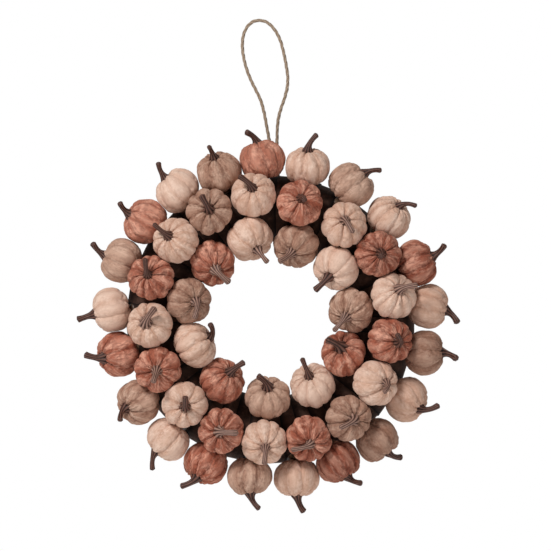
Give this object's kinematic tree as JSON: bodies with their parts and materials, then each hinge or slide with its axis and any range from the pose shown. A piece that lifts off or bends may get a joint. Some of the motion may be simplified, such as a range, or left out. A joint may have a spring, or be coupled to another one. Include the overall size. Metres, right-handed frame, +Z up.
{
  "type": "harvest door wreath",
  "caption": "Round door wreath of small velvet pumpkins glued in three rows to a ribbon-wrapped foam ring, hung by a loop of twine.",
  "frame": {"origin": "the point on the door's face, at the inside top of the twine loop, where the hook that carries the wreath is fixed", "axes": "+Z up, +Y into the door, so the wreath's front looks along -Y, and +X to the right of someone facing the wreath"},
  "size_m": [0.4021, 0.1096, 0.5251],
  "materials": {
    "velvet_cream": "short-pile velvet, gathered",
    "velvet_tan": "short-pile velvet, gathered",
    "velvet_terracotta": "short-pile velvet, gathered",
    "stem": "painted resin, ridged",
    "foam": "foam, hidden under the ribbon",
    "ribbon": "ribbed dark brown ribbon",
    "glue": "hot-melt glue",
    "twine": "twisted jute",
    "pin_steel": "bright wire"
  },
  "bodies": {
    "hanger": {"hanger_loop": "twine", "hanger_knot": "twine"},
    "wreath": {"foam_ring": "foam", "ribbon_wrap": "ribbon", "outer_glue_bead": "glue", "middle_glue_bead": "glue", "inner_glue_bead": "glue", "outer_pumpkin_01": "velvet_terracotta", "outer_pumpkin_02": "velvet_cream", "outer_pumpkin_03": "velvet_tan", "outer_pumpkin_04": "velvet_cream", "outer_pumpkin_05": "velvet_terracotta", "outer_pumpkin_06": "velvet_cream", "outer_pumpkin_07": "velvet_tan", "outer_pumpkin_08": "velvet_cream", "outer_pumpkin_09": "velvet_tan", "outer_pumpkin_10": "velvet_terracotta", "outer_pumpkin_11": "velvet_cream", "outer_pumpkin_12": "velvet_tan", "outer_pumpkin_13": "velvet_terracotta", "outer_pumpkin_14": "velvet_cream", "outer_pumpkin_15": "velvet_tan", "outer_pumpkin_16": "velvet_terracotta", "outer_pumpkin_17": "velvet_cream", "outer_pumpkin_18": "velvet_tan", "outer_pumpkin_19": "velvet_terracotta", "outer_pumpkin_20": "velvet_cream", "outer_pumpkin_21": "velvet_tan", "middle_pumpkin_01": "velvet_cream", "middle_pumpkin_02": "velvet_terracotta", "middle_pumpkin_03": "velvet_cream", "middle_pumpkin_04": "velvet_terracotta", "middle_pumpkin_05": "velvet_cream", "middle_pumpkin_06": "velvet_terracotta", "middle_pumpkin_07": "velvet_cream", "middle_pumpkin_08": "velvet_tan", "middle_pumpkin_09": "velvet_terracotta", "middle_pumpkin_10": "velvet_cream", "middle_pumpkin_11": "velvet_terracotta", "middle_pumpkin_12": "velvet_cream", "middle_pumpkin_13": "velvet_terracotta", "middle_pumpkin_14": "velvet_cream", "middle_pumpkin_15": "velvet_terracotta", "middle_pumpkin_16": "velvet_cream", "middle_pumpkin_17": "velvet_tan", "inner_pumpkin_01": "velvet_cream", "inner_pumpkin_02": "velvet_tan", "inner_pumpkin_03": "velvet_cream", "inner_pumpkin_04": "velvet_tan", "inner_pumpkin_05": "velvet_terracotta", "inner_pumpkin_06": "velvet_cream", "inner_pumpkin_07": "velvet_tan", "inner_pumpkin_08": "velvet_terracotta", "inner_pumpkin_09": "velvet_cream", "inner_pumpkin_10": "velvet_tan", "inner_pumpkin_11": "velvet_terracotta", "hanger_pin": "pin_steel"}
  },
  "joints": [
    {"name": "hanger_swing", "type": "hinge", "parent": "hanger", "child": "wreath", "pos_m": [0.0148, -0.0065, -0.1584], "axis": [-1, 0, 0], "range_deg": [0, 18]}
  ]
}
